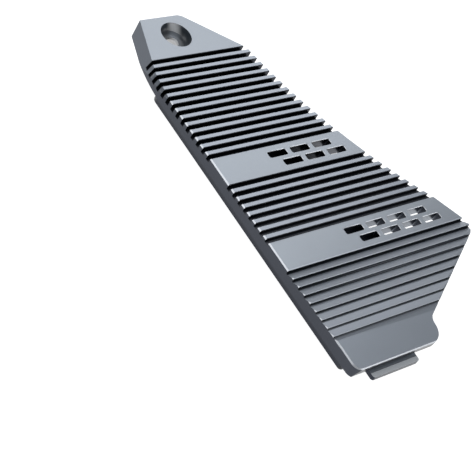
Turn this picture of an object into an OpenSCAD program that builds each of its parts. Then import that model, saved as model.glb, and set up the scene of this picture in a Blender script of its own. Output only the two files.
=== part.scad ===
// Heat sink for a solid-state drive in a console bay: one finned aluminium body
// and one flattened copper heat pipe pressed into the underside of its block.
// X runs from the straight edge to the wing, Y from the tongue to the screw pad,
// Z is up. The origin is the middle of the contact face, on the ground.

/* [Fins] */
// distance from one fin to the next
fin_pitch = 2.75; // [2:0.05:4]
// thickness of one fin
fin_w = 1.35; // [0.8:0.05:2]
// number of fins between the screw pad and the first vent bar
front_fins = 13; // [4:1:20]
// number of fins between the two vent bars
mid_fins = 7; // [2:1:14]
// number of sloped steps before the end plate
step_fins = 8; // [2:1:12]
// depth of the first groove, beside the screw pad
groove_deep = 2.5; // [1:0.1:2.7]
// depth of the last groove, beside the second vent bar
groove_shallow = 1; // [0.5:0.1:2.5]
// height of the first sloped step
step_high = 1.15; // [0.4:0.05:2]
// height of the last sloped step
step_low = 0.45; // [0.2:0.05:1.5]
// flat width at the foot of a sloped step
step_foot = 0.5; // [0.2:0.05:1]
// flat width at the top edge of a sloped step
step_land = 0.1; // [0.05:0.05:0.4]
// how deep the steps are rounded off at the outer corner of the wing
fall_h = 1; // [0.2:0.1:1.5]
// how far that rounding reaches in from the slanted wing edge
fall_in = 3.5; // [1:0.1:6]

/* [Plate] */
// full height, contact face to fin tops
body_h = 11; // [9:0.1:14]
// thickness of the wing
wing_t = 3.4; // [2.6:0.1:6]
// extra thickness of the raised field round the block
field_step = 0.65; // [0.2:0.05:1.5]
// length of the screw pad, from its end to the first groove
pad_len = 15.7; // [12:0.1:25]
// width of the end face of the screw pad
pad_w = 14.9; // [12:0.1:30]
// width that the slanted side takes off the straight edge
slant_w = 8.4; // [2:0.1:12]
// where the line of the slanted side meets the straight edge, from the first groove
slant_run = 8.9; // [6:0.1:14]
// radius of the bend between the slanted side and the straight edge
side_r = 100; // [60:5:140]
// where that bend runs out on the straight edge, from the first groove
side_v = 21.4; // [18:0.1:26]
// width of the plate at the first groove
neck_w = 38.8; // [30:0.1:60]
// width of the plate at the second vent bar
wing_w = 66; // [45:0.1:90]
// width at the outer corner of the wing
wing_tip_w = 72.6; // [50:0.1:95]
// distance from the second vent bar to the outer corner of the wing
wing_tip_run = 13.5; // [5:0.1:20]
// how far the fin tips curve in from a straight line
wing_sag = 4; // [1:0.1:8]
// width of the end plate
end_w = 34; // [28:0.1:50]
// length of the end plate, from the last step to the edge
end_len = 9.9; // [6:0.1:20]
// length of the end plate beyond the inner corner of the wing
end_lobe = 6.9; // [3:0.1:9]
// corner radius at the outer corner of the wing
tip_r = 3.3; // [1:0.1:6]
// radius of the hollow between the slanted wing edge and the end plate
inner_r = 3.5; // [1:0.1:4]
// corner radius of the end plate on the wing side
lobe_r = 5.2; // [1:0.1:7]
// corner radius of the end plate on the straight side
end_r = 2.6; // [0.5:0.1:5]
// corner radius of the screw pad
pad_r = 3.6; // [0.5:0.1:5]
// chamfer along the top of the straight edge and the end edge
edge_c = 0.35; // [0.1:0.05:0.8]
// how far the slanted side leans outward toward its foot
slant_lean = 1.8; // [1.5:0.1:2]
// how far the end face of the screw pad leans inward toward its foot
pad_lean = 2.2; // [0:0.1:2.5]
// how far the end face of the end plate leans inward toward its foot
end_lean = 0.8; // [0:0.1:1.5]
// radius of the curved foot of the slanted side
foot_r = 68; // [60:1:80]
// where that foot runs out on the straight edge, from the first groove
foot_v = 14.5; // [13:0.1:16]
// how far the bevel under the slanted wing edge reaches in
bevel_in = 2; // [0.5:0.1:4]
// thickness of the rim left above that bevel
bevel_rim = 0.85; // [0.4:0.05:2]

/* [Block] */
// width of the contact block
block_w = 23; // [20:0.1:26]
// length of the contact block
block_len = 100; // [60:0.5:110]
// distance from the straight edge to the block
block_in = 5; // [2:0.1:8]
// distance from the first groove to the block
block_start = 4.1; // [2:0.1:10]
// corner radius of the block at the screw end, straight side
block_r = 2.6; // [0.5:0.1:5]
// corner radius of the other block corners
block_r_small = 1.1; // [0.3:0.1:3]

/* [Tongue] */
// width of the tongue
tongue_w = 17.8; // [10:0.1:22]
// distance from the straight edge to the tongue
tongue_in = 7.9; // [4:0.1:12]
// thickness of the tongue
tongue_t = 1.4; // [0.8:0.1:3]
// how far the tongue stands out past the end plate
tongue_out = 1.5; // [0.5:0.1:6]
// height of the underside of the tongue above the contact face
tongue_z = 4.9; // [3:0.1:6]
// corner radius of the tongue
tongue_r = 0.8; // [0.2:0.1:2]
// how far the web above the tongue stays back from the edge
tongue_gap = 3; // [1:0.1:6]

/* [Screw pad] */
// diameter of the screw head pocket
pocket_d = 9.9; // [6:0.1:12]
// depth of the screw head pocket
pocket_depth = 3.2; // [1:0.1:3.6]
// diameter of the screw hole
hole_d = 4; // [2:0.1:5]
// distance from the straight edge to the screw hole
hole_x = 17.35; // [10:0.05:25]
// distance from the first groove to the screw hole
hole_y = 8.3; // [6:0.05:12]

/* [Vents] */
// length of one vent slot
vent_len = 7; // [3:0.1:8]
// width of one vent slot
vent_w = 2.1; // [1:0.1:3]
// corner radius of one vent slot
vent_r = 0.55; // [0.2:0.05:0.9]
// distance from one vent slot to the next in its row
vent_pitch = 8.7; // [8.2:0.1:12]
// distance between the two rows in one bar
vent_rows = 3.5; // [3.2:0.1:5]
// shift of each next row toward the wing
vent_shift = 3.55; // [0:0.05:6]
// middle of the first slot of the first row, from the straight edge
vent_first = 23; // [18:0.1:30]
// most slots in one row of the first bar
vents_a = 3; // [1:1:4]
// most slots in one row of the second bar
vents_b = 4; // [1:1:5]
// depth of the first slot of each row, closed by the block
vent_blind = 2.6; // [1:0.1:3]
// least distance from a slot to the edge of the wing
vent_rim = 2; // [1:0.1:4]

/* [Heat pipe] */
// width of the flattened pipe
pipe_w = 7.7; // [5:0.1:10]
// thickness of the flattened pipe
pipe_t = 2.4; // [1.5:0.1:4]
// clearance on each side of the pipe in its channel
pipe_gap = 0.35; // [0.1:0.05:0.8]
// middle of the pipe, from the straight edge
pipe_x = 16.6; // [12:0.1:22]
// how far the pipe end stays back from the tongue end of the block
pipe_back = 2; // [0.5:0.1:6]
// width of the narrow closing neck
neck_pipe_w = 3.6; // [2:0.1:5]
// length of the neck beyond the block
neck_out = 6; // [3:0.1:7]
// shift of the neck from the middle of the pipe
neck_shift = 0.4; // [-1:0.1:1]
// corner radius on the side of the pipe that shows
pipe_r_face = 0.4; // [0.1:0.05:0.8]
// corner radius on the hidden side of the pipe
pipe_r_back = 1; // [0.3:0.05:1.2]

/* [Hidden] */
$fn = 64;
eps = 0.01;
// how far cutting shapes stand out past what they cut
big = 16;
gap_w = fin_pitch - fin_w;
bar_pitches = 4;
// distances toward the tongue, counted from the first groove
bar_a_at = (front_fins + 1) * fin_pitch - fin_w;
bar_a_end = (front_fins + bar_pitches) * fin_pitch;
bar_b_at = bar_a_end + (mid_fins + 1) * fin_pitch - fin_w;
bar_b_end = bar_a_end + (mid_fins + bar_pitches) * fin_pitch;
bar_w = bar_a_end - bar_a_at;
end_at = bar_b_end + (step_fins + 1) * fin_pitch - fin_w;
plate_end = end_at + end_len;
grooves = front_fins + mid_fins + 2;
// position of the frame origin inside the plan
mid_x = block_in + block_w / 2;
mid_v = block_start + block_len / 2;
// levels above the contact face
wing_z = body_h - wing_t;
field_z = wing_z - field_step;
// corners of the plate outline as distance from the straight edge and from the first groove
tip_v = bar_b_at + wing_tip_run;
inner_v = plate_end - end_lobe;
c_slant = [0, slant_run];
c_pad_a = [slant_w, -pad_len];
c_pad_b = [slant_w + pad_w, -pad_len];
c_neck = [neck_w, gap_w / 2];
c_bar = [wing_w, bar_b_at + 0.3];
c_tip = [wing_tip_w, tip_v];
c_inner = [end_w, inner_v];
c_lobe = [end_w, plate_end];
c_end = [0, plate_end];
// the foot of the slanted side stands further out than its top
side_h = wing_t + field_step;
slant_side = c_slant - c_pad_a;
slant_turn = atan2(slant_side[1], slant_side[0]) - 90;
c_pad_foot = [slant_w - slant_lean / cos(slant_turn), -pad_len];
c_slant_foot = [0, c_pad_foot[0] / slant_w * (slant_run + pad_len) - pad_len];
// circle that the fin tips follow
tip_chord = c_bar - c_neck;
tip_half = norm(tip_chord) / 2;
sweep_r = (tip_half * tip_half / wing_sag + wing_sag) / 2;
sweep_dir = [tip_chord[1], -tip_chord[0]] / norm(tip_chord);
sweep_mid = (c_neck + c_bar) / 2 + sweep_dir * (sweep_r - wing_sag);
// raised field
field_w = end_w - 0.4;
field_pad_w = slant_w + pad_w - 3.8;
field_corner_v = 3;
field_r = 15;
// slanted wing edge
edge_dir = (c_inner - c_tip) / norm(c_inner - c_tip);
edge_len = norm(c_inner - c_tip);
edge_turn = atan2(edge_dir[1], edge_dir[0]);
bevel_h = wing_t - bevel_rim;
bevel_tilt = atan2(bevel_in, bevel_h);

function unit(v) = v / norm(v);

// piece to take off an outline at corner c between neighbours a and b
module corner_bit(c, a, b, r) {
    da = unit(a - c);
    db = unit(b - c);
    half = acos(da * db) / 2;
    reach = r / tan(half);
    o = c + unit(da + db) * r / sin(half);
    difference() {
        polygon([c + (c - o) * 0.2, c + da * reach, o, c + db * reach]);
        translate(o) circle(r = r, $fn = 96);
    }
}

// turns plan distances into the part's frame
module plan() {
    translate([-mid_x, mid_v, 0]) mirror([0, 1, 0]) children();
}

// piece to take off the outline along the curved foot
module foot_bit() {
    run = foot_v + pad_len / 2;
    difference() {
        translate([-5, foot_v - run]) square([10, run]);
        translate([foot_r - 0.1, foot_v]) circle(r = foot_r, $fn = 360);
    }
}

module plate_outline() {
    neck_on = c_neck + unit(c_neck - c_pad_b) * 3;
    bar_on = c_bar + unit(c_bar - c_tip) * 3;
    difference() {
        polygon([c_slant_foot, c_pad_foot, c_pad_b, neck_on, bar_on, c_tip, c_inner, c_lobe, c_end]);
        translate(sweep_mid) circle(r = sweep_r, $fn = 720);
        foot_bit();
        corner_bit(c_pad_b, c_pad_a, c_neck, pad_r);
        corner_bit(c_tip, c_bar, c_inner, tip_r);
        corner_bit(c_lobe, c_inner, c_end, lobe_r);
        corner_bit(c_end, c_lobe, c_slant, end_r);
    }
    corner_bit(c_inner, c_tip, c_lobe, inner_r);
}

module field_outline() {
    a = [field_pad_w, -pad_len - 1];
    b = [field_w, field_corner_v];
    c = [field_w, plate_end + 1];
    intersection() {
        plate_outline();
        difference() {
            polygon([[-1, -pad_len - 1], a, b, c, [-1, plate_end + 1]]);
            corner_bit(b, a, c, field_r);
        }
    }
}

module block_outline() {
    x0 = block_in;
    x1 = block_in + block_w;
    v0 = block_start;
    v1 = block_start + block_len;
    difference() {
        polygon([[x0, v0], [x1, v0], [x1, v1], [x0, v1]]);
        corner_bit([x0, v0], [x1, v0], [x0, v1], block_r);
        corner_bit([x1, v0], [x0, v0], [x1, v1], block_r_small / 2);
        corner_bit([x1, v1], [x0, v1], [x1, v0], block_r_small);
        corner_bit([x0, v1], [x1, v1], [x0, v0], block_r_small);
    }
}

// one groove across the plate, v0 is its edge nearer the screw pad
module groove(v0, depth) {
    translate([-3, v0, body_h - depth]) cube([wing_tip_w + 4, gap_w, depth + 1]);
}

module fin_grooves() {
    for (i = [0 : front_fins]) {
        groove(i * fin_pitch, groove_depth(i));
    }
    for (i = [0 : mid_fins]) {
        groove(bar_a_end + i * fin_pitch, groove_depth(front_fins + 1 + i));
    }
}

function groove_depth(i) = groove_deep + (groove_shallow - groove_deep) * i / (grooves - 1);

// sloped steps, each one a wall, a narrow foot and a ramp up to the next edge
module step_cuts() {
    for (i = [0 : step_fins]) {
        v0 = bar_b_end + i * fin_pitch;
        d = step_high + (step_low - step_high) * i / step_fins;
        run = i < step_fins ? fin_pitch - step_land : gap_w;
        translate([-1, v0, body_h])
            rotate([90, 0, 90])
                linear_extrude(height = wing_tip_w + 2)
                    polygon([[0, 1], [0, -d], [step_foot, -d], [run, 0], [run, 1]]);
    }
}

// rounds the steps off toward the slanted wing edge, less and less toward the end plate
module wing_fall() {
    r = (fall_in * fall_in + fall_h * fall_h) / (2 * fall_h);
    translate([c_tip[0], c_tip[1], body_h])
        rotate([0, 0, edge_turn])
            rotate([0, -atan2(fall_h, edge_len), 0])
                difference() {
                    translate([-big / 2, -big / 2, -2 * fall_h])
                        cube([big / 2 + edge_len - 1, big / 2 + fall_in, 3 * fall_h]);
                    translate([-big, fall_in, -r])
                        rotate([0, 90, 0]) cylinder(r = r, h = big + edge_len, $fn = 180);
                }
}

module vent(x, v, depth) {
    translate([x - vent_len / 2, v - vent_w / 2, body_h - depth])
        linear_extrude(height = depth + 1)
            difference() {
                square([vent_len, vent_w]);
                corner_bit([0, 0], [1, 0], [0, 1], vent_r);
                corner_bit([vent_len, 0], [0, 0], [vent_len, 1], vent_r);
                corner_bit([vent_len, vent_w], [0, vent_w], [vent_len, 0], vent_r);
                corner_bit([0, vent_w], [1, vent_w], [0, 0], vent_r);
            }
}

module vent_row(first, v, count) {
    for (i = [0 : count - 1]) {
        vent(first + i * vent_pitch, v, i == 0 ? vent_blind : body_h);
    }
}

// how many slots of a row fit on a bar of the width given
function slots(first, width, most) =
    min(most, 1 + floor((width - vent_rim - vent_len / 2 - first) / vent_pitch));

module vents() {
    mid_a = (bar_a_at + bar_a_end) / 2;
    mid_b = (bar_b_at + bar_b_end) / 2;
    width_a = neck_w + (wing_w - neck_w) * bar_a_at / bar_b_at - wing_sag;
    for (row = [0 : 1]) {
        side = (row - 0.5) * vent_rows;
        first_a = vent_first + row * vent_shift;
        first_b = first_a + 2 * vent_shift;
        vent_row(first_a, mid_a + side, slots(first_a, width_a, vents_a));
        vent_row(first_b, mid_b + side, slots(first_b, wing_w, vents_b));
    }
}

// screw head pocket and screw hole
module screw_bores() {
    translate([hole_x, -hole_y, body_h - pocket_depth]) cylinder(d = pocket_d, h = pocket_depth + 1);
    translate([hole_x, -hole_y, 0]) cylinder(d = hole_d, h = body_h);
}

// leaning side of the screw pad and its leaning end
module pad_cuts() {
    lean = atan2(slant_lean, side_h);
    translate([c_pad_a[0], c_pad_a[1], body_h])
        rotate([0, 0, slant_turn])
            rotate([0, lean, 0])
                translate([-big, -big / 2, -big]) cube([big, norm(slant_side) + big, 2 * big]);
    tilt = atan2(pad_lean, side_h);
    translate([-2, -pad_len, body_h])
        rotate([tilt, 0, 0])
            translate([0, -big, -big]) cube([neck_w, big, 2 * big]);
}

// bend between the slanted side and the straight edge, part of a wide leaning cone
module side_cut() {
    below = side_h + 1;
    slope = slant_lean / side_h;
    difference() {
        translate([-4, 0, body_h - side_h - 0.5]) cube([8, side_v - 3, side_h + 1]);
        translate([side_r, side_v, body_h - below])
            cylinder(r1 = side_r + slope * below, r2 = side_r - slope, h = below + 1, $fn = 360);
    }
}

// leaning end face of the end plate
module end_cut() {
    tilt = atan2(end_lean, side_h);
    translate([-2, plate_end, body_h])
        rotate([-tilt, 0, 0])
            translate([0, 0, -big]) cube([end_w + 4, big, 2 * big]);
}

// section that a chamfer takes off, x outward from the edge and y up from the top
module chamfer_section() {
    over = 0.5;
    polygon([[-edge_c - over, over], [over, -edge_c - over], [over, over]]);
}

// chamfer along the straight edge, round the corner and along the end edge
module edge_cuts() {
    from_v = side_v - 9.4;
    corner_v = plate_end - end_r;
    translate([0, corner_v, body_h])
        rotate([90, 0, 0])
            linear_extrude(height = corner_v - from_v) mirror([1, 0]) chamfer_section();
    translate([end_r, corner_v, body_h])
        rotate([0, 0, 90])
            rotate_extrude(angle = 90, $fn = 96) translate([end_r, 0]) chamfer_section();
    translate([end_r, plate_end, body_h])
        rotate([90, 0, 90])
            linear_extrude(height = end_w - end_r + 1) chamfer_section();
}

// bevel under the slanted edge of the wing
module wing_bevel() {
    translate([c_tip[0], c_tip[1], body_h - bevel_rim])
        rotate([0, 0, edge_turn])
            rotate([bevel_tilt - 90, 0, 0])
                translate([-big, 0, -big]) cube([big + edge_len - 1, big, big]);
}

module tongue_block() {
    web_end = plate_end - tongue_gap;
    block_end = block_start + block_len;
    translate([tongue_in, block_end - 2, tongue_z])
        cube([tongue_w, web_end - block_end + 2, field_z - tongue_z + 1]);
    tip = [tongue_w, plate_end + tongue_out - block_end + 2];
    translate([tongue_in, block_end - 2, tongue_z])
        linear_extrude(height = tongue_t)
            difference() {
                square(tip);
                corner_bit(tip, [0, tip[1]], [tip[0], 0], tongue_r);
                corner_bit([0, tip[1]], [0, 0], tip, tongue_r);
            }
}

module pipe_channel() {
    w = pipe_w + 2 * pipe_gap;
    translate([pipe_x - w / 2, block_start - 1, -1]) cube([w, block_len + 2, pipe_t + 1]);
}

// the wing with its raised field below
module plate() {
    difference() {
        union() {
            difference() {
                translate([0, 0, wing_z]) linear_extrude(height = wing_t) plate_outline();
                wing_bevel();
            }
            translate([0, 0, field_z]) linear_extrude(height = field_step + 1) field_outline();
        }
        end_cut();
    }
}

module body() {
    color([0.62, 0.66, 0.71])
        plan()
            difference() {
                union() {
                    plate();
                    linear_extrude(height = field_z + 1) block_outline();
                    tongue_block();
                }
                fin_grooves();
                step_cuts();
                wing_fall();
                vents();
                screw_bores();
                pad_cuts();
                side_cut();
                edge_cuts();
                pipe_channel();
            }
}

// plan of the pipe: rounded end toward the tongue, shoulders and neck toward the screw pad
module pipe_plan() {
    x0 = pipe_x - pipe_w / 2;
    x1 = pipe_x + pipe_w / 2;
    v0 = block_start - 0.2;
    v1 = block_start + block_len - pipe_back;
    nx = pipe_x + neck_shift;
    nr = neck_pipe_w / 2;
    neck_v = block_start - neck_out + nr;
    shoulder = 3;
    difference() {
        polygon([[x0, v0], [nx - nr, v0 - shoulder], [nx + nr, v0 - shoulder], [x1, v0], [x1, v1], [x0, v1]]);
        corner_bit([x1, v1], [x0, v1], [x1, v0], pipe_w / 2 - eps);
        corner_bit([x0, v1], [x1, v1], [x0, v0], pipe_w / 2 - eps);
        corner_bit([x0, v0], [x0, v1], [nx - nr, v0 - shoulder], 2);
        corner_bit([x1, v0], [x1, v1], [nx + nr, v0 - shoulder], 2);
    }
    translate([nx - nr, neck_v]) square([neck_pipe_w, v0 - shoulder - neck_v + 0.5]);
    translate([nx, neck_v]) circle(r = nr);
}

// section of the pipe across its length, the face side down
module pipe_section() {
    w = pipe_w;
    t = pipe_t;
    difference() {
        square([w, t]);
        corner_bit([0, 0], [w, 0], [0, t], pipe_r_face);
        corner_bit([w, 0], [0, 0], [w, t], pipe_r_face);
        corner_bit([w, t], [0, t], [w, 0], pipe_r_back);
        corner_bit([0, t], [w, t], [0, 0], pipe_r_back);
    }
}

module heat_pipe() {
    color([0.85, 0.56, 0.38])
        plan()
            intersection() {
                linear_extrude(height = pipe_t) pipe_plan();
                translate([pipe_x - pipe_w / 2, block_start - neck_out - 1, 0])
                    translate([0, block_len + neck_out + 2, 0])
                        rotate([90, 0, 0])
                            linear_extrude(height = block_len + neck_out + 2) pipe_section();
            }
}

body();
heat_pipe();
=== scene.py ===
"""Finishes a finned drive heat sink: satin anodised aluminium body, copper heat pipe and a pale studio."""

import math

import bmesh
import bpy
from bpy.props import (
    FloatProperty,
    FloatVectorProperty,
    IntProperty,
    PointerProperty,
)
from bpy.types import Operator, Panel, PropertyGroup
from mathutils import Euler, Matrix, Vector


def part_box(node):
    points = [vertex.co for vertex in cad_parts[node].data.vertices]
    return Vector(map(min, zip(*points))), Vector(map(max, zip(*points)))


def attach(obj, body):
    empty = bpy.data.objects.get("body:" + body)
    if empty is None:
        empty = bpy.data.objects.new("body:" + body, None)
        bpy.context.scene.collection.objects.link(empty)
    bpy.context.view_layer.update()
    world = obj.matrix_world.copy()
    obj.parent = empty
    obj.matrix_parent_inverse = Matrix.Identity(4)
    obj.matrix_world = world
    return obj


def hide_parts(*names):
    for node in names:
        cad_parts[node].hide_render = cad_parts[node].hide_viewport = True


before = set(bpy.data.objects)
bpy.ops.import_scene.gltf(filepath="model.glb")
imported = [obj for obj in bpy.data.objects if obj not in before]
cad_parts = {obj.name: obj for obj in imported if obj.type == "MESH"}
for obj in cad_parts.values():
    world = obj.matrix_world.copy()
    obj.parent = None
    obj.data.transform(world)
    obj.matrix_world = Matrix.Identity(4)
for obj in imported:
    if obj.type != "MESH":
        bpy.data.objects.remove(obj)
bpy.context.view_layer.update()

bl_info = {
    "name": "Finned Drive Heat Sink",
    "version": (1, 0, 0),
    "blender": (4, 5, 0),
    "location": "View3D > Sidebar > Heat Sink",
    "description": "Finishes the body and the heat pipe and sets up the studio",
    "category": "Object",
}

MM = 0.001
BODY_LOW, BODY_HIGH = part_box("body")
TOP_Z = BODY_HIGH[2]

# corners of a carried-over solid that lie closer than this are one corner
WELD = 1e-6
# faces that meet at less than this angle are shaded as one
SMOOTH_ANGLE = math.radians(11)
# how far the edge cutters reach past the outermost corner of the wing
CUT_OVER = 4.0 * MM
# points on each rounded corner of a vent's cutter
CORNER_POINTS = 5

# Colour zones of the body, which carry most of its painted light and shade. A pair is where a zone starts
# to fade in or out and where it is done.

# width over which one zone gives way to the next
SOFT = 0.02 * MM
# strip along each long edge of a bar that its chamfer lies in
BAR_RIM = 0.5 * MM
# where the tongue's upper face and the end wall over it start, from the first groove
TONGUE_AT = 110.32 * MM
END_WALL_AT = TONGUE_AT - 1.0 * MM
# how far the vents' zone reaches past the last slot, and the pocket's past its wall
VENT_MARGIN = 0.3 * MM
POCKET_MARGIN = 0.2 * MM
# heights above the contact face
PLATE_HEIGHT = (7.1 * MM, 7.4 * MM)
LOW_WALL_HEIGHT = (6.7 * MM, 7.0 * MM)
END_WALL_HEIGHT = (6.3 * MM, 6.4 * MM)
TONGUE_HEIGHT = (6.4 * MM, 6.6 * MM)
# depths below the top
TOP_DEPTH = (0.01 * MM, 0.04 * MM)
GROOVE_DEPTH = (0.01 * MM, 0.06 * MM)
VENT_DEPTH = (0.12 * MM, 0.2 * MM)
POCKET_DEPTH = (0.02 * MM, 0.08 * MM)
# shares of a face's direction: upward for walls, level faces, step slopes and chamfers
UPRIGHT = (0.25, 0.7)
LEVEL = (0.97, 0.995)
SLOPED = (0.8, 0.85)
CHAMFER_LOW = (0.6, 0.68)
CHAMFER_HIGH = (0.74, 0.82)
# and along or across the body
ENDWAYS = (0.86, 0.95)
SIDEWAYS = (0.6, 0.8)
CHAMFER_ENDWAYS = (0.5, 0.6)
# where the painted reflection band in the screw pocket fades in and out, in pocket radii
SHEEN_IN = (-0.65, -0.25)
SHEEN_OUT = (-0.15, 0.35)
# share of the groove colour, a painted shade, on the lower half of the side walls
LOW_WALL_SHADE = 0.45
# how metallic the flat faces are, and what is left of it in the pocket and on the tongue
FLAT_METAL = 0.5
DULL_SHARE = 0.1

# Grain of both metals.

# the part of a noise's values that is used
NOISE_SPAN = (0.2, 0.8)
# blasted aluminium: how fine its grain and its mottling are, how much they darken or lighten the
# colour, and what the grain does to the roughness and the surface
BLAST_SCALE = 9000.0
MOTTLE_SCALE = 90.0
TONE_SPAN = (0.985, 1.015)
BLAST_ROUGH = 0.04
BLAST_BUMP = {"Strength": 0.06, "Distance": 0.04 * MM}
# drawn copper: marks that are long along the pipe, and what they do
DRAWN_SCALE = (4000.0, 60.0, 4000.0)
DRAWN_TONE = 0.94
DRAWN_ROUGH = 0.05
DRAWN_BUMP = {"Strength": 0.05, "Distance": 0.03 * MM}
COPPER_METAL = 0.9

# Studio, in metres: each lamp's place, what it points at, and its width and height.
LAMPS = {
    "key": ((0.2525, 0.3425, 0.41), (0.0, 0.02, 0.0), (0.5, 0.4)),
    "side": ((-0.50, 0.30, 0.47), (0.0, 0.0, 0.0), (0.3, 0.3)),
    "front": ((0.38, -0.50, 0.32), (0.0, -0.04, 0.0), (0.4, 0.3)),
}
SKY_COLOUR = (0.97, 0.985, 1.0, 1.0)
SENSOR_MM = 36.0
NEAREST_SEEN = 0.01
FLOOR_HALF = 6.0
FLOOR_Z = -0.2 * MM
# Middles and half sizes of two soft boxes, under the body and on its wing side, where the floor's glow is
# cut down: a painted shade, in which the body's cast shadow also shows. The body hides both from the
# camera.
FLOOR_SHADES = (
    ((6.5 * MM, 61.1 * MM), (4.0 * MM, 10.0 * MM)),
    ((13.5 * MM, 20.1 * MM), (16.0 * MM, 24.0 * MM)),
)
SHADE_SOFT = 5.0 * MM
SHADE_GLOW = 0.1


class FinLayout(PropertyGroup):
    """Where the grooves, the steps and the vents of the fin field lie."""

    first: FloatProperty(
        name="First groove", description="Place along the body where the first groove starts",
        subtype="DISTANCE", unit="LENGTH", default=54.1 * MM,
    )
    side: FloatProperty(
        name="Straight side", description="Place across the body of its straight side",
        subtype="DISTANCE", unit="LENGTH", default=-16.5 * MM,
    )
    pitch: FloatProperty(
        name="Fin pitch", description="Distance from one fin to the next",
        subtype="DISTANCE", unit="LENGTH", default=2.75 * MM,
    )
    fin: FloatProperty(
        name="Fin width", description="Width of one fin",
        subtype="DISTANCE", unit="LENGTH", default=1.35 * MM,
    )
    front: IntProperty(
        name="Front grooves", description="Grooves between the pad and the first bar",
        subtype="UNSIGNED", default=14,
    )
    middle: IntProperty(
        name="Middle grooves", description="Grooves between the two bars",
        subtype="UNSIGNED", default=8,
    )
    steps: IntProperty(
        name="Steps", description="Steps between the second bar and the end plate",
        subtype="UNSIGNED", default=9,
    )
    bar: IntProperty(
        name="Bar pitches", description="Pitches taken by a bar and the groove before it",
        subtype="UNSIGNED", default=4,
    )
    edge: FloatProperty(
        name="Edge break", description="Size of the fine chamfer on every fin edge",
        subtype="DISTANCE", unit="LENGTH", default=0.14 * MM,
    )
    vent_length: FloatProperty(
        name="Vent length", description="Length of one vent slot",
        subtype="DISTANCE", unit="LENGTH", default=7.0 * MM,
    )
    vent_width: FloatProperty(
        name="Vent width", description="Width of one vent slot",
        subtype="DISTANCE", unit="LENGTH", default=2.1 * MM,
    )
    vent_corner: FloatProperty(
        name="Vent corner", description="Corner radius of a vent slot",
        subtype="DISTANCE", unit="LENGTH", default=0.55 * MM,
    )
    vent_pitch: FloatProperty(
        name="Vent pitch", description="Distance from one vent to the next in its row",
        subtype="DISTANCE", unit="LENGTH", default=8.7 * MM,
    )
    vent_rows: FloatProperty(
        name="Vent rows", description="Distance between the two rows of vents on a bar",
        subtype="DISTANCE", unit="LENGTH", default=3.5 * MM,
    )
    vent_shift: FloatProperty(
        name="Vent shift", description="How far each row starts beyond the row before it",
        subtype="DISTANCE", unit="LENGTH", default=3.55 * MM,
    )
    vent_first: FloatProperty(
        name="First vent", description="Distance from the straight side to the middle of the first vent",
        subtype="DISTANCE", unit="LENGTH", default=23.0 * MM,
    )
    vents_a: IntProperty(
        name="First bar vents", description="Vents in each row of the first bar",
        subtype="UNSIGNED", default=3,
    )
    vents_b: IntProperty(
        name="Second bar vents", description="Vents in each row of the second bar",
        subtype="UNSIGNED", default=4,
    )

    def bars(self):
        """Start and end of each bar, measured from the first groove."""
        groove = self.pitch - self.fin
        first_end = (self.front - 1 + self.bar) * self.pitch
        second_end = first_end + (self.middle - 1 + self.bar) * self.pitch
        first_start = (self.front - 1) * self.pitch + groove
        second_start = first_end + (self.middle - 1) * self.pitch + groove
        return (first_start, first_end), (second_start, second_end)

    def vent_reach(self):
        """How far from the straight side the vents of each bar may reach."""
        last = self.vent_first + self.vent_length / 2 + VENT_MARGIN
        first_bar = last + self.vent_shift + (self.vents_a - 1) * self.vent_pitch
        second_bar = last + 3 * self.vent_shift + (self.vents_b - 1) * self.vent_pitch
        return first_bar, second_bar


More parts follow.
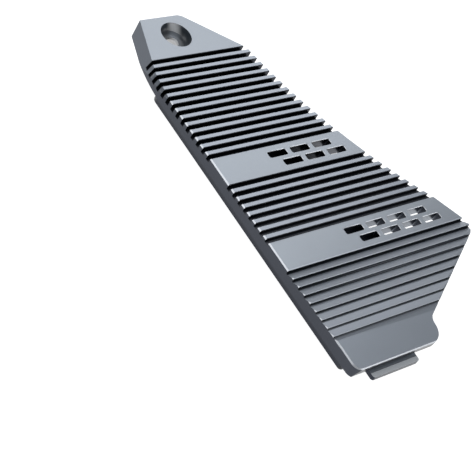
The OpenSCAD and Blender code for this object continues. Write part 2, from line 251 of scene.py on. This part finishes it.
class AluminiumLook(PropertyGroup):
    """Colours and finish of the anodised aluminium."""

    face: FloatVectorProperty(
        name="Flat faces", description="Colour of the flat faces",
        subtype="COLOR", size=3, min=0, max=1, default=(0.31, 0.344, 0.390),
    )
    # painted light: the fin tops, and the chamfers across the fins, take this slightly lighter copy of the
    # flat faces' colour
    fin_top: FloatVectorProperty(
        name="Fin tops", description="Colour of the narrow tops of the fins",
        subtype="COLOR", size=3, min=0, max=1, default=(0.325, 0.36, 0.415),
    )
    # painted shade: the end plate, and level faces in the pocket's light band, take this darker copy of the
    # flat faces' colour
    plate: FloatVectorProperty(
        name="End plate", description="Colour of the end plate",
        subtype="COLOR", size=3, min=0, max=1, default=(0.272, 0.304, 0.351),
    )
    # painted shade: the upright walls take this dark copy of the aluminium colour
    wall: FloatVectorProperty(
        name="Side walls", description="Colour of the upright walls",
        subtype="COLOR", size=3, min=0, max=1, default=(0.056, 0.061, 0.074),
    )
    # painted shade: near black in the grooves, on the first step walls, the end wall, the lower side walls,
    # the vent floors and the chamfers that face the tongue
    groove: FloatVectorProperty(
        name="Grooves", description="Colour down in the grooves",
        subtype="COLOR", size=3, min=0, max=1, default=(0.008, 0.011, 0.019),
    )
    # painted light and shade: the step tops pass from lighter than the flat faces to darker toward the end
    # plate
    first_step: FloatVectorProperty(
        name="First step", description="Colour of the top of the first and deepest step",
        subtype="COLOR", size=3, min=0, max=1, default=(0.42, 0.46, 0.52),
    )
    last_step: FloatVectorProperty(
        name="Last step", description="Colour of the top of the last and shallowest step",
        subtype="COLOR", size=3, min=0, max=1, default=(0.20, 0.223, 0.26),
    )
    # painted shade: the step walls pass from the groove colour to this dark grey toward the end plate
    step: FloatVectorProperty(
        name="Last step wall", description="Colour of the wall of the last and shallowest step",
        subtype="COLOR", size=3, min=0, max=1, default=(0.07, 0.078, 0.09),
    )
    # painted shade inside the vents of the second bar, less dark than on the other walls
    vent: FloatVectorProperty(
        name="Vent walls", description="Colour inside the vents of the second bar",
        subtype="COLOR", size=3, min=0, max=1, default=(0.20, 0.22, 0.25),
    )
    # painted highlight on the chamfers
    edge: FloatVectorProperty(
        name="Cut edges", description="Colour of the bright cut edges",
        subtype="COLOR", size=3, min=0, max=1, default=(0.62, 0.65, 0.70),
    )
    # painted light: the tongue's upper face, in the end plate's shadow, is painted near white
    tongue: FloatVectorProperty(
        name="Tongue", description="Colour of the tongue's upper face",
        subtype="COLOR", size=3, min=0, max=1, default=(0.90, 0.95, 1.0),
    )
    # painted shade and painted reflection in the screw pocket: a dark colour, and a light band that stands
    # in for reflected light
    pocket_painted_shade: FloatVectorProperty(
        name="Pocket shade", description="Dark part of the turned marks in the screw pocket",
        subtype="COLOR", size=3, min=0, max=1, default=(0.045, 0.055, 0.068),
    )
    pocket_painted_sheen: FloatVectorProperty(
        name="Pocket sheen", description="Light part of the turned marks in the screw pocket",
        subtype="COLOR", size=3, min=0, max=1, default=(0.96, 0.98, 1.0),
    )
    pocket: FloatVectorProperty(
        name="Pocket place", description="Middle of the screw pocket, seen from above",
        subtype="TRANSLATION", unit="LENGTH", size=2, default=(0.85 * MM, 62.4 * MM),
    )
    pocket_radius: FloatProperty(
        name="Pocket radius", description="Radius of the screw pocket",
        subtype="DISTANCE", unit="LENGTH", default=4.95 * MM,
    )
    # direction across which the painted reflection band in the screw pocket passes from dark to light and
    # back
    sheen_axis: FloatVectorProperty(
        name="Sweep", description="Direction in which the turned marks pass from dark to light and back",
        subtype="DIRECTION", size=3, default=(0.754, -0.522, -0.399),
    )
    roughness: FloatProperty(
        name="Roughness", description="How satin the finish is",
        subtype="FACTOR", min=0, max=1, default=0.32,
    )


class CopperLook(PropertyGroup):
    """Colour and finish of the copper pipe."""

    face: FloatVectorProperty(
        name="Copper", description="Colour of the copper",
        subtype="COLOR", size=3, min=0, max=1, default=(0.90, 0.56, 0.34),
    )
    roughness: FloatProperty(
        name="Roughness", description="How satin the copper is",
        subtype="FACTOR", min=0, max=1, default=0.34,
    )


class StudioLook(PropertyGroup):
    """Camera, lamps and floor."""

    camera_place: FloatVectorProperty(
        name="Camera place", description="Where the camera stands",
        subtype="TRANSLATION", unit="LENGTH", size=3, default=(-0.2561, -0.1487, 0.2652),
    )
    camera_turn: FloatVectorProperty(
        name="Camera turn", description="How the camera is turned",
        subtype="EULER", unit="ROTATION", size=3,
        default=(math.radians(42.035), math.radians(-23.521), math.radians(-34.728)),
    )
    lens: FloatProperty(
        name="Lens", description="Focal length in millimetres for a 36 mm sensor",
        unit="CAMERA", min=10, max=400, default=106.18,
    )
    key: FloatProperty(
        name="Key lamp", description="Power of the large soft lamp beyond the screw pad",
        unit="POWER", min=0, default=1.1,
    )
    side: FloatProperty(
        name="Side lamp", description="Power of the lamp on the straight side",
        unit="POWER", min=0, default=0.7,
    )
    front: FloatProperty(
        name="Front lamp", description="Power of the lamp beyond the tongue",
        unit="POWER", min=0, default=0.9,
    )
    sky: FloatProperty(
        name="Surrounding light", description="Strength of the even light all round",
        min=0, default=0.36,
    )
    floor: FloatVectorProperty(
        name="Floor", description="Colour of the floor",
        subtype="COLOR", size=3, min=0, max=1, default=(0.6, 0.6, 0.6),
    )
    glow: FloatProperty(
        name="Floor glow", description="How much of the floor's white is its own",
        subtype="FACTOR", min=0, max=1, default=0.88,
    )


class Graph:
    """Adds nodes to a node tree and links them, one line for each node."""

    def __init__(self, tree):
        self.tree = tree

    def add(self, kind, inputs=None, **settings):
        node = self.tree.nodes.new(kind)
        for key, value in settings.items():
            setattr(node, key, value)
        for key, value in (inputs or {}).items():
            self.put(node.inputs[key], value)
        return node

    def put(self, socket, value):
        if isinstance(value, bpy.types.NodeSocket):
            self.tree.links.new(value, socket)
        else:
            socket.default_value = value

    def maths(self, operation, a, b=0.0, clamp=False):
        node = self.add("ShaderNodeMath", {0: a, 1: b}, operation=operation, use_clamp=clamp)
        return node.outputs[0]

    def vector(self, x=0.0, y=0.0, z=0.0):
        return self.add("ShaderNodeCombineXYZ", {0: x, 1: y, 2: z}).outputs[0]


class Finish(Graph):
    """A procedural material in the making."""

    def __init__(self, name):
        self.material = bpy.data.materials.new(name)
        self.material.use_nodes = True
        super().__init__(self.material.node_tree)
        self.tree.nodes.clear()

    def ramp(self, value, low, high, to_low=0.0, to_high=1.0, kind="SMOOTHSTEP"):
        """Passes from one number to another while the value goes from low to high."""
        values = {"Value": value, "From Min": low, "From Max": high, "To Min": to_low, "To Max": to_high}
        return self.add("ShaderNodeMapRange", values, interpolation_type=kind).outputs["Result"]

    def fall(self, value, low, high):
        return self.ramp(value, low, high, 1.0, 0.0)

    def past(self, value, start):
        """One past a place, and nothing before it."""
        return self.ramp(value, start, start + SOFT)

    def before(self, value, end):
        """One before a place, and nothing past it."""
        return self.fall(value, end, end + SOFT)

    def between(self, value, start, end):
        return self.times(self.past(value, start), self.before(value, end - SOFT))

    def times(self, *masks):
        """The product of masks or numbers: one where all of the masks are."""
        product = masks[0]
        for mask in masks[1:]:
            product = self.maths("MULTIPLY", product, mask)
        return product

    def either(self, a, b):
        """The larger of two masks or numbers."""
        return self.maths("MAXIMUM", a, b)

    def neither(self, a, b):
        return self.inverse(self.maths("ADD", a, b, clamp=True))

    def inverse(self, mask):
        return self.maths("SUBTRACT", 1.0, mask)

    def distance(self, x, y):
        return self.maths("SQRT", self.maths("ADD", self.times(x, x), self.times(y, y)))

    def mix(self, factor, a, b):
        """Passes from colour a to colour b; each is a property's colour or a socket."""
        colours = {0: factor, 6: self.colour(a), 7: self.colour(b)}
        return self.add("ShaderNodeMix", colours, data_type="RGBA").outputs[2]

    @staticmethod
    def colour(value):
        if isinstance(value, bpy.types.NodeSocket):
            return value
        return (value[0], value[1], value[2], 1.0)

    def noise(self, place, scale, detail):
        values = {"Vector": place, "Scale": scale, "Detail": detail}
        return self.add("ShaderNodeTexNoise", values).outputs["Fac"]

    def metal(self, inputs):
        """Ends the material in a metal shader with the inputs given."""
        return self.done(self.add("ShaderNodeBsdfPrincipled", inputs).outputs["BSDF"])

    def done(self, shader):
        out = self.add("ShaderNodeOutputMaterial")
        self.put(out.inputs["Surface"], shader)
        return self.material


class BodyZones:
    """Masks for the zones of the body, from place and from the way that a face points."""

    def __init__(self, n, layout):
        self.place = n.add("ShaderNodeTexCoord").outputs["Object"]
        self.x, self.y, self.z = n.add("ShaderNodeSeparateXYZ", {0: self.place}).outputs
        normal = n.add("ShaderNodeNewGeometry").outputs["True Normal"]
        nx, ny, nz = n.add("ShaderNodeSeparateXYZ", {0: normal}).outputs

        # how far below the top, along from the first groove and across from the straight side
        self.depth = n.maths("SUBTRACT", TOP_Z, self.z)
        self.along = n.maths("SUBTRACT", layout.first, self.y)
        self.across = n.maths("SUBTRACT", self.x, layout.side)
        self.below = n.ramp(self.depth, *GROOVE_DEPTH)
        self.in_plate = n.ramp(self.z, *PLATE_HEIGHT)

        # the way that a face points
        endways = n.maths("ABSOLUTE", ny)
        self.wall = n.fall(n.maths("ABSOLUTE", nz), *UPRIGHT)
        self.level = n.ramp(nz, *LEVEL)
        self.sloped = n.ramp(nz, *SLOPED)
        self.endways = n.ramp(endways, *ENDWAYS)
        self.sideways = n.ramp(n.maths("ABSOLUTE", nx), *SIDEWAYS)
        self.to_tongue = n.fall(ny, -ENDWAYS[1], -ENDWAYS[0])

        # chamfers, those that run across the body, and those of them that look at the tongue
        self.cut = n.times(n.ramp(nz, *CHAMFER_LOW), n.fall(nz, *CHAMFER_HIGH))
        self.cut_endways = n.times(self.cut, n.ramp(endways, *CHAMFER_ENDWAYS))
        self.cut_to_tongue = n.times(self.cut, n.fall(ny, -CHAMFER_ENDWAYS[1], -CHAMFER_ENDWAYS[0]))

        # fins, bars and steps
        (a_start, a_end), (b_start, b_end) = layout.bars()
        self.steps_start = b_end
        self.steps_end = b_end + layout.steps * layout.pitch - layout.fin
        rim = 2 * layout.edge
        self.field = n.times(n.ramp(self.along, -SOFT, SOFT), n.before(self.along, self.steps_end))
        self.stepped = n.past(self.along, b_end - rim)
        grooved = n.inverse(self.stepped)
        bar_a = n.between(self.along, a_start, a_end)
        bar_b = n.between(self.along, b_start, b_end)
        self.finned = n.times(self.field, n.neither(bar_a, bar_b), grooved)

        # the bars without their long edges, and the places of the other chamfers: on the fins, along
        # the bars and at the end of the pad
        self.core_a = n.between(self.along, a_start + BAR_RIM, a_end - BAR_RIM)
        self.core_b = n.between(self.along, b_start + BAR_RIM, b_end - BAR_RIM)
        from_pad = n.past(self.along, -rim - SOFT)
        self.rims = n.times(from_pad, n.neither(self.core_a, self.core_b), grooved)

        # the end wall over the tongue, and the tongue's upper face
        past_end = n.past(self.along, END_WALL_AT)
        self.end_wall = n.times(past_end, self.to_tongue, n.ramp(self.z, *END_WALL_HEIGHT))
        past_plate = n.past(self.along, TONGUE_AT)
        self.tongue = n.times(past_plate, n.fall(self.z, *TONGUE_HEIGHT), self.level)


def fin_colours(n, look, at):
    """Pale faces, painted shade that makes the walls dark and the grooves near black, and painted light on
    the fin tops.
    """
    colour = n.mix(at.wall, look.face, look.wall)
    top = n.times(at.finned, at.level, n.fall(at.depth, *TOP_DEPTH))
    colour = n.mix(top, colour, look.fin_top)
    groove = n.times(at.finned, at.below, at.in_plate, n.either(at.level, at.endways))
    return n.mix(groove, colour, look.groove)


def step_colours(n, look, at, colour):
    """Painted light and shade on the steps and the end plate: step tops get darker and step walls lighter
    toward the end plate.
    """
    lift = n.ramp(at.along, at.steps_start, at.steps_end, kind="LINEAR")
    slope = n.mix(lift, look.first_step, look.last_step)
    slope = n.mix(n.past(at.along, at.steps_end), slope, look.plate)
    colour = n.mix(n.times(at.stepped, at.in_plate, at.sloped), colour, slope)
    riser = n.either(at.to_tongue, n.times(at.level, at.below))
    riser = n.times(at.field, at.stepped, at.in_plate, riser)
    return n.mix(riser, colour, n.mix(lift, look.groove, look.step))


def shaded_walls(n, look, at, colour):
    """Painted shade on the end wall over the tongue and on the lower half of the side walls."""
    colour = n.mix(at.end_wall, colour, look.groove)
    low_wall = n.times(at.wall, n.ramp(at.z, *LOW_WALL_HEIGHT, LOW_WALL_SHADE, 0.0))
    return n.mix(low_wall, colour, look.groove)


def vent_colours(n, look, layout, at, colour):
    """Painted shade in the vent slots: dark walls and round ends, less dark walls in the second bar, near
    black floors.
    """
    reach_a, reach_b = layout.vent_reach()
    in_a = n.times(at.core_a, n.before(at.across, reach_a))
    in_b = n.times(at.core_b, n.before(at.across, reach_b))
    past_side = n.past(at.across, layout.vent_first - layout.vent_length)
    deep = n.ramp(at.depth, *VENT_DEPTH)
    vent = n.times(n.maths("ADD", in_a, in_b), past_side, deep, at.in_plate)
    vent_wall = n.mix(in_a, look.vent, look.wall)
    colour = n.mix(n.times(vent, n.either(at.endways, at.wall)), colour, vent_wall)
    colour = n.mix(n.times(vent, at.sideways), colour, look.wall)
    return n.mix(n.times(vent, at.level), colour, look.groove)


def pocket_colours(n, look, at, colour):
    """A painted reflection in the screw pocket: one light band across a dark painted shade; also gives the
    pocket's mask.
    """
    off_x = n.maths("SUBTRACT", at.x, look.pocket[0])
    off_y = n.maths("SUBTRACT", at.y, look.pocket[1])
    within = n.before(n.distance(off_x, off_y), look.pocket_radius + POCKET_MARGIN)
    pocket = n.times(within, n.ramp(at.depth, *POCKET_DEPTH))
    offset = n.vector(off_x, off_y, at.depth)
    sheen_axis = tuple(share / look.pocket_radius for share in look.sheen_axis)
    swing = n.add("ShaderNodeVectorMath", {0: offset, 1: sheen_axis}, operation="DOT_PRODUCT").outputs["Value"]
    # painted reflection band across the pocket; level faces in it take the end plate's colour
    sheen = n.times(n.ramp(swing, *SHEEN_IN), n.fall(swing, *SHEEN_OUT))
    light = n.mix(at.level, look.pocket_painted_sheen, look.plate)
    return n.mix(pocket, colour, n.mix(sheen, look.pocket_painted_shade, light)), pocket


def edge_colours(n, look, at, colour):
    """Painted highlights on the chamfers, a softer painted light on those across the fins, painted shade on
    those that face the tongue, and plain colour on those of the steps.
    """
    colour = n.mix(at.cut, colour, look.edge)
    colour = n.mix(n.times(at.cut_endways, at.rims), colour, look.fin_top)
    colour = n.mix(n.times(at.cut_to_tongue, at.rims), colour, look.groove)
    return n.mix(n.times(at.cut_endways, at.field, at.stepped), colour, look.face)


def aluminium(look, layout):
    """Satin anodised aluminium with a fine blasted grain, a faint broad mottling, and painted light and
    shade in its colour.
    """
    n = Finish("anodised_aluminium")
    at = BodyZones(n, layout)
    colour = fin_colours(n, look, at)
    colour = step_colours(n, look, at, colour)
    colour = shaded_walls(n, look, at, colour)
    colour = vent_colours(n, look, layout, at, colour)
    colour, pocket = pocket_colours(n, look, at, colour)
    colour = edge_colours(n, look, at, colour)
    # painted light on the tongue's upper face
    colour = n.mix(at.tongue, colour, look.tongue)

    # upright walls mirror more than the flat faces, and the pocket and the tongue hardly at all
    metal = n.ramp(n.either(at.end_wall, at.wall), 0.0, 1.0, FLAT_METAL, 1.0, "LINEAR")
    dull = n.ramp(n.either(pocket, at.tongue), 0.0, 1.0, 1.0, DULL_SHARE, "LINEAR")

    grain = n.noise(at.place, BLAST_SCALE, detail=2.0)
    mottle = n.noise(at.place, MOTTLE_SCALE, detail=3.0)
    shade = n.times(n.ramp(grain, *NOISE_SPAN, *TONE_SPAN), n.ramp(mottle, *NOISE_SPAN, *TONE_SPAN))
    tone = n.vector(shade, shade, shade)
    colour = n.add("ShaderNodeVectorMath", {0: colour, 1: tone}, operation="MULTIPLY").outputs[0]
    rough = n.ramp(grain, *NOISE_SPAN, look.roughness - BLAST_ROUGH, look.roughness + BLAST_ROUGH)
    bump = n.add("ShaderNodeBump", {"Height": grain, **BLAST_BUMP}).outputs["Normal"]
    metal = n.times(metal, dull)
    return n.metal({"Base Color": colour, "Roughness": rough, "Normal": bump, "Metallic": metal})


def copper(look):
    """Satin copper with faint drawing marks along the pipe."""
    n = Finish("satin_copper")
    place = n.add("ShaderNodeTexCoord").outputs["Object"]
    stretched = n.add("ShaderNodeMapping", {"Vector": place, "Scale": DRAWN_SCALE}).outputs[0]
    marks = n.noise(stretched, scale=1.0, detail=3.0)
    colour = n.mix(marks, [share * DRAWN_TONE for share in look.face], look.face)
    rough = n.ramp(marks, *NOISE_SPAN, look.roughness - DRAWN_ROUGH, look.roughness + DRAWN_ROUGH)
    bump = n.add("ShaderNodeBump", {"Height": marks, **DRAWN_BUMP}).outputs["Normal"]
    return n.metal({"Base Color": colour, "Roughness": rough, "Normal": bump, "Metallic": COPPER_METAL})


def floor_finish(look):
    """White where it is looked at, plain matt grey for the light it takes, with painted shade where its
    glow is cut down under the body.
    """
    n = Finish("studio_floor")
    rays = n.add("ShaderNodeLightPath").outputs
    seen = n.either(rays["Is Camera Ray"], rays["Is Glossy Ray"])
    seen = n.either(seen, rays["Is Transmission Ray"])
    place = n.add("ShaderNodeTexCoord").outputs["Object"]
    x, y, _ = n.add("ShaderNodeSeparateXYZ", {0: place}).outputs
    lit = 1.0
    for middle, half in FLOOR_SHADES:
        beyond = []
        for value, centre, reach in zip((x, y), middle, half):
            offset = n.maths("ABSOLUTE", n.maths("SUBTRACT", value, centre))
            beyond.append(n.either(n.maths("SUBTRACT", offset, reach), 0.0))
        share = n.ramp(n.distance(*beyond), 0.0, SHADE_SOFT, SHADE_GLOW, 1.0)
        lit = n.maths("MINIMUM", lit, share)
    strength = n.times(seen, lit, look.glow)
    glow = n.add("ShaderNodeEmission", {"Color": (1, 1, 1, 1), "Strength": strength}).outputs[0]
    matt = n.add("ShaderNodeBsdfDiffuse", {"Color": n.colour(look.floor)}).outputs[0]
    return n.done(n.add("ShaderNodeAddShader", {0: glow, 1: matt}).outputs[0])


SOCKET_KINDS = {
    float: "NodeSocketFloat",
    int: "NodeSocketInt",
    bpy.types.Material: "NodeSocketMaterial",
}


def new_tree(name, values):
    """Makes a geometry tree with one named input for each value, and gives its inputs."""
    tree = bpy.data.node_groups.new(name, "GeometryNodeTree")
    tree.interface.new_socket("Geometry", in_out="INPUT", socket_type="NodeSocketGeometry")
    tree.interface.new_socket("Geometry", in_out="OUTPUT", socket_type="NodeSocketGeometry")
    for label, value in values.items():
        tree.interface.new_socket(label, in_out="INPUT", socket_type=SOCKET_KINDS[type(value)])
    g = Graph(tree)
    return g, g.add("NodeGroupInput").outputs


def grow(name, source, tree, values):
    """Runs a geometry tree on a mesh and keeps the result as a plain mesh object."""
    piece = bpy.data.objects.new(name, source)
    bpy.context.scene.collection.objects.link(piece)
    modifier = piece.modifiers.new(name, "NODES")
    modifier.node_group = tree
    items = tree.interface.items_tree
    sockets = {item.name: item.identifier for item in items if item.in_out == "INPUT"}
    for label, value in values.items():
        modifier[sockets[label]] = value
    depsgraph = bpy.context.evaluated_depsgraph_get()
    mesh = bpy.data.meshes.new_from_object(piece.evaluated_get(depsgraph), depsgraph=depsgraph)
    piece.modifiers.remove(modifier)
    piece.data = mesh
    return piece


def point_line(g, count, start, step):
    """A row of points, each one step further on."""
    values = {"Count": count, "Start Location": start, "Offset": step}
    return g.add("GeometryNodeMeshLine", values, mode="OFFSET").outputs[0]


def rounded_plate(g, length, width, corner, z):
    """A flat rounded rectangle at a height."""
    outline = g.add("GeometryNodeCurvePrimitiveQuadrilateral", {"Width": length, "Height": width})
    corners = {"Curve": outline.outputs[0], "Radius": corner, "Count": CORNER_POINTS}
    rounded = g.add("GeometryNodeFilletCurve", corners, mode="POLY").outputs[0]
    filled = g.add("GeometryNodeFillCurve", {"Curve": rounded}, mode="NGONS").outputs[0]
    lifted = {"Geometry": filled, "Translation": g.vector(z=z)}
    return g.add("GeometryNodeTransform", lifted).outputs[0]


def join(g, *parts):
    node = g.add("GeometryNodeJoinGeometry")
    for part in parts:
        g.put(node.inputs[0], part)
    return node.outputs[0]


def on_points(g, points, instance, turn=(0.0, 0.0, 0.0)):
    values = {"Points": points, "Instance": instance, "Rotation": turn}
    return g.add("GeometryNodeInstanceOnPoints", values).outputs[0]


def ridge_cutters(g, given, middle_at, steps_at):
    """Square bars turned on edge, one along each edge of a groove and of a step."""
    pitch, first = given["Fin pitch"], given["First groove"]
    middle_x = g.maths("ADD", given["Straight side"], g.maths("MULTIPLY", given["Cut length"], 0.5))
    step = g.vector(y=g.maths("MULTIPLY", pitch, -1.0))

    def edges(count, after, shift=0.0):
        y = g.maths("SUBTRACT", g.maths("SUBTRACT", first, g.maths("MULTIPLY", pitch, after)), shift)
        return point_line(g, count, g.vector(middle_x, y, given["Top"]), step)

    rows = join(
        g,
        edges(given["Front grooves"], 0.0),
        edges(given["Front grooves"], 0.0, given["Groove width"]),
        edges(given["Middle grooves"], middle_at),
        edges(given["Middle grooves"], middle_at, given["Groove width"]),
        edges(given["Steps"], steps_at),
    )
    thick = g.maths("MULTIPLY", given["Edge break"], math.sqrt(2.0))
    size = g.vector(given["Cut length"], thick, thick)
    ridge = g.add("GeometryNodeMeshCube", {"Size": size}).outputs[0]
    return on_points(g, rows, ridge, (math.radians(45.0), 0.0, 0.0))


def rim_cutters(g, given, middle_at, steps_at):
    """Rounded solids that taper at 45 degrees through the top face, one at each vent."""
    pitch, edge = given["Fin pitch"], given["Edge break"]

    def rim_plate(out):
        """The vent's outline, grown on each side by a number of edge breaks."""
        grown = g.maths("MULTIPLY", edge, 2.0 * out)
        length = g.maths("ADD", given["Vent length"], grown)
        width = g.maths("ADD", given["Vent width"], grown)
        corner = g.maths("ADD", given["Vent corner"], g.maths("MULTIPLY", edge, out))
        return rounded_plate(g, length, width, corner, g.maths("MULTIPLY", edge, out - 1.0))

    rim = g.add("GeometryNodeConvexHull", {0: join(g, rim_plate(2.0), rim_plate(-2.0))}).outputs[0]
    vent_x = g.maths("ADD", given["Straight side"], given["First vent"])
    bar_width = g.maths("SUBTRACT", g.maths("MULTIPLY", pitch, given["Bar pitches"]), given["Groove width"])
    bar_middle = g.maths("MULTIPLY", bar_width, 0.5)
    step = g.vector(x=given["Vent pitch"])
    lines = []
    bars = ((given["First bar vents"], middle_at), (given["Second bar vents"], steps_at))
    for number, (count, after) in enumerate(bars):
        bar_end = g.maths("SUBTRACT", given["First groove"], g.maths("MULTIPLY", pitch, after))
        bar_y = g.maths("ADD", bar_end, bar_middle)
        for row in (0, 1):
            x = g.maths("ADD", vent_x, g.maths("MULTIPLY", given["Vent shift"], 2.0 * number + row))
            y = g.maths("SUBTRACT", bar_y, g.maths("MULTIPLY", given["Vent rows"], row - 0.5))
            lines.append(point_line(g, count, g.vector(x, y, given["Top"]), step))
    return on_points(g, join(g, *lines), rim)


def edge_break_tree(values):
    """Breaks every fin, step and vent edge of a body with a fine chamfer."""
    g, given = new_tree("fin_edge_breaks", values)

    # pitches from the first groove to the end of the first bar and to the end of the second
    bar = given["Bar pitches"]
    middle_at = g.maths("ADD", g.maths("SUBTRACT", given["Front grooves"], 1.0), bar)
    middle_run = g.maths("ADD", g.maths("SUBTRACT", given["Middle grooves"], 1.0), bar)
    steps_at = g.maths("ADD", middle_at, middle_run)

    ridges = ridge_cutters(g, given, middle_at, steps_at)
    rims = rim_cutters(g, given, middle_at, steps_at)
    cutters = g.add("GeometryNodeRealizeInstances", {0: join(g, ridges, rims)}).outputs[0]
    cut = g.add(
        "GeometryNodeMeshBoolean", {"Mesh 1": given["Geometry"], "Mesh 2": cutters},
        operation="DIFFERENCE", solver="EXACT",
    ).outputs[0]
    whole = g.add("GeometryNodeRealizeInstances", {0: cut}).outputs[0]
    dressed = g.add("GeometryNodeSetMaterial", {"Geometry": whole, "Material": given["Material"]})
    out = g.add("NodeGroupOutput")
    g.put(out.inputs[0], dressed.outputs[0])
    return g.tree


def merged_copy(name):
    """A copy of a carried-over solid with its loose triangles welded together."""
    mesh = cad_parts[name].data.copy()
    work = bmesh.new()
    work.from_mesh(mesh)
    bmesh.ops.remove_doubles(work, verts=work.verts, dist=WELD)
    closed = all(edge.is_manifold for edge in work.edges)
    work.to_mesh(mesh)
    work.free()
    if not closed:
        raise RuntimeError(name + " is not a closed solid")
    return mesh


class HEATSINK_OT_body(Operator):
    """Break the edges of the finned aluminium body and give it its satin finish"""

    bl_idname = "heatsink.body"
    bl_label = "Make finned body"

    def execute(self, context):
        layout = context.scene.heatsink_fins
        values = {
            "First groove": layout.first,
            "Straight side": layout.side,
            "Top": float(TOP_Z),
            "Cut length": float(BODY_HIGH[0] - BODY_LOW[0]) + CUT_OVER,
            "Fin pitch": layout.pitch,
            "Groove width": layout.pitch - layout.fin,
            "Front grooves": layout.front,
            "Middle grooves": layout.middle,
            "Steps": layout.steps,
            "Bar pitches": layout.bar,
            "Edge break": layout.edge,
            "Vent length": layout.vent_length,
            "Vent width": layout.vent_width,
            "Vent corner": layout.vent_corner,
            "Vent pitch": layout.vent_pitch,
            "Vent rows": layout.vent_rows,
            "Vent shift": layout.vent_shift,
            "First vent": layout.vent_first,
            "First bar vents": layout.vents_a,
            "Second bar vents": layout.vents_b,
            "Material": aluminium(context.scene.heatsink_aluminium, layout),
        }
        source = merged_copy("body")
        uncut = len(source.vertices)
        piece = grow("finned_body", source, edge_break_tree(values), values)
        if len(piece.data.vertices) <= uncut:
            raise RuntimeError("the fin edges could not be broken")
        piece.data.shade_smooth()
        piece.data.set_sharp_from_angle(angle=SMOOTH_ANGLE)
        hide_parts("body")
        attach(piece, "root")
        return {"FINISHED"}


class HEATSINK_OT_pipe(Operator):
    """Give the copper heat pipe its satin finish"""

    bl_idname = "heatsink.pipe"
    bl_label = "Finish heat pipe"

    def execute(self, context):
        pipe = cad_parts["heat_pipe"]
        pipe.data.materials.clear()
        pipe.data.materials.append(copper(context.scene.heatsink_copper))
        return {"FINISHED"}


def link(name, data):
    item = bpy.data.objects.new(name, data)
    bpy.context.scene.collection.objects.link(item)
    return item


def add_floor(look):
    mesh = bpy.data.meshes.new("studio_floor")
    corners = [(x * FLOOR_HALF, y * FLOOR_HALF, FLOOR_Z) for x, y in ((-1, -1), (1, -1), (1, 1), (-1, 1))]
    mesh.from_pydata(corners, [], [(0, 1, 2, 3)])
    mesh.materials.append(floor_finish(look))
    floor = link("studio_floor", mesh)


def add_sky(look):
    world = bpy.data.worlds.new("studio_light")
    world.use_nodes = True
    sky = world.node_tree.nodes["Background"].inputs
    sky["Color"].default_value = SKY_COLOUR
    sky["Strength"].default_value = look.sky
    bpy.context.scene.world = world


def add_lamps(look):
    for name, (place, aim, size) in LAMPS.items():
        data = bpy.data.lights.new(name + "_lamp", "AREA")
        data.shape = "RECTANGLE"
        data.size, data.size_y = size
        data.energy = getattr(look, name)
        lamp = link(name + "_lamp", data)
        lamp.location = place
        lamp.rotation_euler = (Vector(aim) - Vector(place)).to_track_quat("-Z", "Y").to_euler()


def add_camera(look):
    data = bpy.data.cameras.new("camera")
    data.sensor_width = SENSOR_MM
    data.lens = look.lens
    data.clip_start = NEAREST_SEEN
    camera = link("camera", data)
    camera.location = look.camera_place
    camera.rotation_euler = Euler(look.camera_turn)
    bpy.context.scene.camera = camera


class HEATSINK_OT_studio(Operator):
    """Set up the floor, the lamps and the camera"""

    bl_idname = "heatsink.studio"
    bl_label = "Set up studio"

    def execute(self, context):
        look = context.scene.heatsink_studio
        add_floor(look)
        add_sky(look)
        add_lamps(look)
        add_camera(look)
        context.scene.view_settings.view_transform = "Standard"
        return {"FINISHED"}


class HEATSINK_PT_panel(Panel):
    """Lists the steps in the sidebar"""

    bl_label = "Heat Sink"
    bl_idname = "HEATSINK_PT_panel"
    bl_space_type = "VIEW_3D"
    bl_region_type = "UI"
    bl_category = "Heat Sink"

    def draw(self, context):
        for step in STEPS:
            self.layout.operator(step.bl_idname)


LOOKS = {
    "heatsink_fins": FinLayout,
    "heatsink_aluminium": AluminiumLook,
    "heatsink_copper": CopperLook,
    "heatsink_studio": StudioLook,
}
STEPS = (HEATSINK_OT_body, HEATSINK_OT_pipe, HEATSINK_OT_studio)


def register():
    for name, look in LOOKS.items():
        bpy.utils.register_class(look)
        setattr(bpy.types.Scene, name, PointerProperty(type=look))
    for step in STEPS:
        bpy.utils.register_class(step)
    bpy.utils.register_class(HEATSINK_PT_panel)


def unregister():
    bpy.utils.unregister_class(HEATSINK_PT_panel)
    for step in reversed(STEPS):
        bpy.utils.unregister_class(step)
    for name, look in reversed(LOOKS.items()):
        delattr(bpy.types.Scene, name)
        bpy.utils.unregister_class(look)


def main():
    register()
    bpy.ops.heatsink.body()
    bpy.ops.heatsink.pipe()
    bpy.ops.heatsink.studio()


if __name__ == "__main__":
    main()
